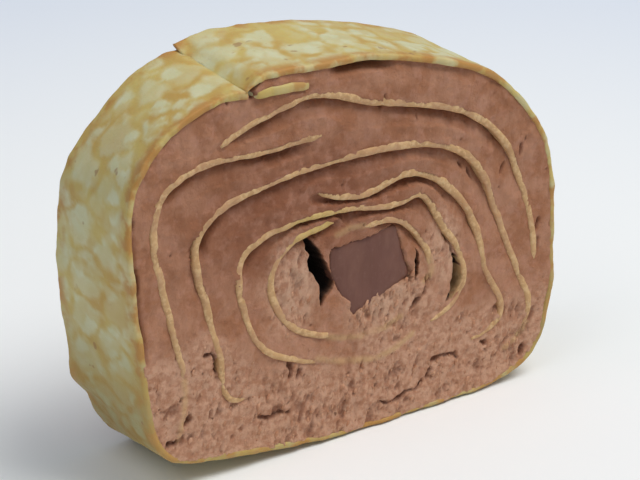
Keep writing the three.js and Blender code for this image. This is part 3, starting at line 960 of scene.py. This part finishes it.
def loose_crumbs():
    ball = bmesh.new()
    bmesh.ops.create_icosphere(ball, subdivisions=2, radius=1)
    sphere = np.array([vert.co[:] for vert in ball.verts])
    triangles = np.array([[vert.index for vert in face.verts] for face in ball.faces])
    ball.free()
    draw = np.random.RandomState(61)
    lean = np.array([[1, 0, DRAG_LEAN], [0, 1, 0], [0, 0, 1]])
    least, most = CRUMB_RADIUS
    points, faces = [], []
    for facing in (-1, 1):
        x, z = crumb_places(facing, CRUMBS[facing], draw)
        gap, _, _ = beside_crepe(x, z, facing)
        back, _, _ = cut_relief(x, z, facing)
        inside = inside_outline(x, z, wrap.at(facing * HALF_DEPTH)[::8])
        for a, c, distance, depth, within in zip(x, z, gap, back, inside):
            radius = least + (most - least) * draw.uniform() ** 2
            shape = draw.uniform((0.6, 0.6, 1.0), (1.1, 1.0, 2.1)) * radius
            bumps = 1 + draw.uniform(-0.35, 0.35, len(sphere))
            if distance < 0.5 + radius or depth > 1.1 or within < 1:
                continue
            level = facing * (HALF_DEPTH - depth - 0.4 * radius)
            faces += (triangles + len(points) * len(sphere)).tolist()
            points.append((sphere * bumps[:, None] * shape) @ lean.T + [a, level, c])
    piece = new_object("cream_crumbs", np.vstack(points), faces)
    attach(piece, "root")
    return piece


# The block's rounded edges, as pairs of level and share of its outline
BLOCK_ROUNDING = [(8.62, 0.2), (8.62, 0.5), (8.6, 0.8), (8.56, 0.93), (8.45, 0.98), (8.2, 1.0), (4, 1.0)]


def chocolate():
    closed = evenly_round(block_loop, 120)
    middle = closed.mean(0)
    angle = np.arange(len(closed)) * 0.4
    rings = []
    for level, share in [(-level, share) for level, share in BLOCK_ROUNDING] + BLOCK_ROUNDING[::-1]:
        uneven = 1 + 0.012 * rough(angle, np.full(len(closed), float(level)), 3, 401)
        rings.append(at_level(middle + (closed - middle) * (share * uneven)[:, None], level))
    piece = new_object("chocolate_block_core", np.vstack(rings), ring_faces(len(rings), len(closed)))
    outward(piece)
    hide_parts("chocolate_block")
    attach(piece, "root")
    return piece


# Materials

def colour(red, green, blue):
    """A colour of the screen, 0 to 255, as light."""
    shares = [value / 255 for value in (red, green, blue)]
    light = [share / 12.92 if share <= 0.04045 else ((share + 0.055) / 1.055) ** 2.4 for share in shares]
    return (*light, 1.0)


class Material:
    """A short way to write a node material."""

    def __init__(self, name):
        self.material = bpy.data.materials.new(name)
        self.material.use_nodes = True
        self.tree = self.material.node_tree

    def fill(self, node, inputs):
        """Links each input to another node's output, or sets it to a value."""
        for key, value in inputs.items():
            if isinstance(value, bpy.types.NodeSocket):
                self.tree.links.new(value, node.inputs[key])
            else:
                node.inputs[key].default_value = value

    def node(self, kind, inputs, **settings):
        made = self.tree.nodes.new(kind)
        for key, value in settings.items():
            setattr(made, key, value)
        self.fill(made, inputs)
        return made

    def place(self):
        return self.node("ShaderNodeTexCoord", {}).outputs["Object"]

    def painted(self, name):
        return self.node("ShaderNodeAttribute", {}, attribute_name=name).outputs["Fac"]

    def noise(self, per_metre, detail, stretch=(1, 1, 1), roughness=0.55):
        spread = self.node("ShaderNodeMapping", {"Vector": self.place(), "Scale": stretch}).outputs[0]
        inputs = {"Vector": spread, "Scale": per_metre, "Detail": detail, "Roughness": roughness}
        return self.node("ShaderNodeTexNoise", inputs).outputs["Fac"]

    def between(self, value, low, high, to_low=0.0, to_high=1.0):
        inputs = {"Value": value, "From Min": low, "From Max": high, "To Min": to_low, "To Max": to_high}
        return self.node("ShaderNodeMapRange", inputs, interpolation_type="SMOOTHSTEP").outputs[0]

    def patches(self, per_metre, detail, low, high, stretch=(1, 1, 1)):
        """Noise that is 0 in some places and 1 in others, with soft borders."""
        return self.between(self.noise(per_metre, detail, stretch), low, high)

    def maths(self, operation, one, other):
        return self.node("ShaderNodeMath", {0: one, 1: other}, operation=operation).outputs[0]

    def mix(self, share, one, other):
        return self.node("ShaderNodeMix", {0: share, 6: one, 7: other}, data_type="RGBA").outputs[2]

    def mottled(self, where, one, other):
        """One colour where the mask is 0 and another where it is 1."""
        return self.mix(where, colour(*one), colour(*other))

    def tinted(self, base, where, strength, tone):
        """The base with a colour over it, this strong where the mask is 1."""
        return self.mix(self.maths("MULTIPLY", where, strength), base, colour(*tone))

    def finish(self, base, roughness, height=None, bump=0.0, distance=0.0, scatter=0.0, gloss=0.3):
        surface = {"Base Color": base, "Roughness": roughness, "Specular IOR Level": gloss}
        if height is not None:
            inputs = {"Height": height, "Strength": bump, "Distance": distance}
            surface["Normal"] = self.node("ShaderNodeBump", inputs).outputs[0]
        if scatter:
            surface["Subsurface Weight"] = scatter
            surface["Subsurface Radius"] = (1.0, 0.55, 0.3)
            surface["Subsurface Scale"] = 0.0012
        self.fill(self.tree.nodes["Principled BSDF"], surface)
        return self.material


def skin_material():
    m = Material("crepe_skin")
    golden = m.mottled(m.painted("brown"), (198, 176, 104), (188, 153, 82))
    golden = m.tinted(golden, m.patches(420, 4, 0.42, 0.7), 0.25, (182, 142, 74))
    # Painted shade: golden skin darker low down
    golden = m.tinted(golden, m.painted("low"), 0.9, (158, 127, 67))
    blister = m.mottled(m.patches(260, 3, 0.35, 0.7), (200, 196, 154), (208, 206, 170))
    # Painted shade: blisters darker low down
    blister = m.tinted(blister, m.painted("low"), 0.9, (158, 146, 98))
    near_rim = m.between(m.painted("edge"), 0.2, 1, 0.95, 0.5)
    skin = m.mix(m.maths("MULTIPLY", m.painted("pale"), near_rim), golden, blister)
    toasted = m.maths("MULTIPLY", m.between(m.painted("edge"), 0.3, 1), m.patches(300, 3, 0.4, 0.6))
    skin = m.tinted(skin, toasted, 0.9, (180, 128, 64))
    # The bottom rim's khaki tone, made lighter than the shaded skin above it as painted light where it
    # faces down
    bottom_rim_tone_and_light = m.maths("MULTIPLY", m.painted("low"), m.between(m.painted("edge"), 0.6, 1.0))
    skin = m.tinted(skin, bottom_rim_tone_and_light, 0.4, (184, 154, 92))
    # Burnt spots and small flecks
    skin = m.tinted(skin, m.patches(330, 2, 0.7, 0.75), 0.6, (146, 100, 60))
    skin = m.tinted(skin, m.patches(900, 2, 0.68, 0.76), 0.25, (160, 120, 70))
    dull = m.between(m.noise(700, 3), 0.3, 0.7, 0.48, 0.66)
    height = m.noise(1800, 5, roughness=0.65)
    return m.finish(skin, dull, height, bump=0.35, distance=0.00025, scatter=0.15)


def crepe_material():
    m = Material("crepe_edge")
    tone = m.mottled(m.patches(500, 4, 0.3, 0.7), (204, 162, 113), (187, 145, 99))
    cut = m.mix(m.patches(1500, 3, 0.45, 0.62), tone, colour(213, 175, 127))
    # Smeared with cream
    cut = m.tinted(cut, m.patches(260, 4, 0.47, 0.62), 0.5, (184, 138, 103))
    cut = m.tinted(cut, m.painted("yellow"), 0.6, (196, 170, 94))
    height = m.noise(3600, 3, roughness=0.6)
    return m.finish(cut, 0.6, height, bump=0.35, distance=0.0002, scatter=0.15)


def cream_material():
    m = Material("chocolate_cream")
    base = m.mottled(m.patches(210, 5, 0.4, 0.6), (167, 111, 77), (184, 131, 100))
    # Darker round the upper left: the cream's own tone and painted shade of its dents and crepes
    base = m.tinted(base, m.painted("dark_tone_and_shade"), 0.75, (137, 81, 53))
    # Rosy patches, then upright streaks
    base = m.tinted(base, m.patches(640, 4, 0.48, 0.66), 0.4, (192, 139, 114))
    base = m.tinted(base, m.patches(800, 4, 0.42, 0.66, stretch=(1, 1, 0.3)), 0.2, (150, 98, 68))
    fluffy = m.mottled(m.patches(1100, 5, 0.36, 0.62), (184, 132, 101), (214, 168, 138))
    base = m.mix(m.maths("MULTIPLY", m.painted("crumb"), 0.75), base, fluffy)
    fibre = m.patches(900, 4, 0.4, 0.6, stretch=(1, 1, 0.35))
    fibre = m.maths("MULTIPLY", m.painted("fibres"), fibre)
    base = m.tinted(base, fibre, 0.7, (212, 170, 140))
    base = m.tinted(base, m.painted("trace"), 0.68, (204, 164, 116))
    # Painted shade in the pits, the hollows under crepes and the grain's dips
    base = m.tinted(base, m.painted("pit"), 0.7, (112, 62, 42))
    # Painted shade: walls deep inside the hollows are painted near black
    base = m.mix(m.painted("deep"), base, colour(36, 24, 18))
    height = m.maths("ADD", m.noise(2600, 6, roughness=0.7), m.noise(800, 3))
    return m.finish(base, 0.6, height, bump=0.7, distance=0.0004, scatter=0.1)


def crumb_material():
    m = Material("cream_crumb")
    tone = m.mottled(m.patches(600, 4, 0.38, 0.62), (180, 128, 97), (202, 153, 122))
    height = m.noise(3200, 4, roughness=0.7)
    return m.finish(tone, 0.7, height, bump=0.5, distance=0.0002, scatter=0.12, gloss=0.25)


def chocolate_material():
    m = Material("chocolate")
    base = m.mottled(m.patches(300, 4, 0.35, 0.7, stretch=(1, 1, 0.4)), (108, 68, 54), (123, 82, 66))
    base = m.tinted(base, m.patches(150, 3, 0.45, 0.65), 0.4, (106, 64, 54))
    # Pale bloom
    base = m.tinted(base, m.patches(1600, 3, 0.55, 0.75), 0.25, (134, 96, 82))
    height = m.noise(1500, 4, stretch=(1, 1, 0.25))
    return m.finish(base, 0.45, height, bump=0.25, distance=0.0002, scatter=0.06)


# The slice

def dress(piece, material):
    piece.data.materials.clear()
    piece.data.materials.append(material)


dress(outer_crepe(), skin_material())
crepe = crepe_material()
for number, name in enumerate(INNER):
    dress(inner_crepe(name, number), crepe)
dress(cream_body(), cream_material())
dress(chocolate(), chocolate_material())
dress(loose_crumbs(), crumb_material())


# Floor, light and camera

def floor():
    size = 3000
    corners = [(-size, -size, 0), (size, -size, 0), (size, size, 0), (-size, size, 0)]
    plane = new_object("floor", corners, [(0, 1, 2, 3)])
    m = Material("floor")
    away = m.node("ShaderNodeVectorMath", {0: m.place()}, operation="LENGTH").outputs["Value"]
    pale = m.mottled(m.between(away, 0.07, 0.28), (243, 244, 243), (208, 217, 233))
    dress(plane, m.finish(pale, 0.8))


def direction(azimuth, elevation):
    """Towards an azimuth and elevation in degrees, as the views count them."""
    a, e = math.radians(azimuth), math.radians(elevation)
    return Vector((math.sin(a) * math.cos(e), -math.cos(a) * math.cos(e), math.sin(e)))


def soft_light(name, size, power, azimuth, elevation, distance, tint):
    """A square light that shines on the slice from a direction and distance."""
    data = bpy.data.lights.new(name, "AREA")
    data.size = size
    data.energy = power
    data.color = tint
    lamp = placed(name, data)
    back = direction(azimuth, elevation)
    middle_of_slice = Vector((0, 0, 0.03))
    lamp.location = middle_of_slice + back * distance
    lamp.rotation_euler = back.to_track_quat("Z", "Y").to_euler()


def surroundings():
    world = bpy.data.worlds.new("studio")
    world.use_nodes = True
    sky = world.node_tree.nodes["Background"]
    sky.inputs["Color"].default_value = colour(222, 231, 243)
    sky.inputs["Strength"].default_value = 0.4
    bpy.context.scene.world = world
    soft_light("top_light", 0.95, 19, 46, 62, 1.6, (1.0, 0.99, 0.97))
    soft_light("front_fill", 0.9, 3.0, -78, 56, 1.5, (1.0, 0.98, 0.96))


# The camera stands at the photograph's place: angles in degrees, the rest in millimetres
VIEW_AZIMUTH = -35.0
VIEW_ELEVATION = 24.0
VIEW_ROLL = 0.3
VIEW_DISTANCE = 442.5
VIEW_TARGET = (-5.26, -9.0, 32.2)
# So many of the picture's pixels are one millimetre at that distance
PIXELS_PER_MM = 7.175
PICTURE_WIDTH = 640
SENSOR_WIDTH = 36


def camera():
    data = bpy.data.cameras.new("camera")
    data.sensor_width = SENSOR_WIDTH
    data.lens = SENSOR_WIDTH * PIXELS_PER_MM * VIEW_DISTANCE / PICTURE_WIDTH
    data.clip_start = 0.01
    viewer = placed("camera", data)
    back = direction(VIEW_AZIMUTH, VIEW_ELEVATION)
    turn = Matrix.Rotation(math.radians(-VIEW_ROLL), 4, "Z")
    facing = back.to_track_quat("Z", "Y").to_matrix().to_4x4()
    place = (Vector(VIEW_TARGET) + back * VIEW_DISTANCE) * MM
    viewer.matrix_world = Matrix.Translation(place) @ facing @ turn
    bpy.context.scene.camera = viewer


floor()
surroundings()
camera()
bpy.context.scene.view_settings.view_transform = "Standard"
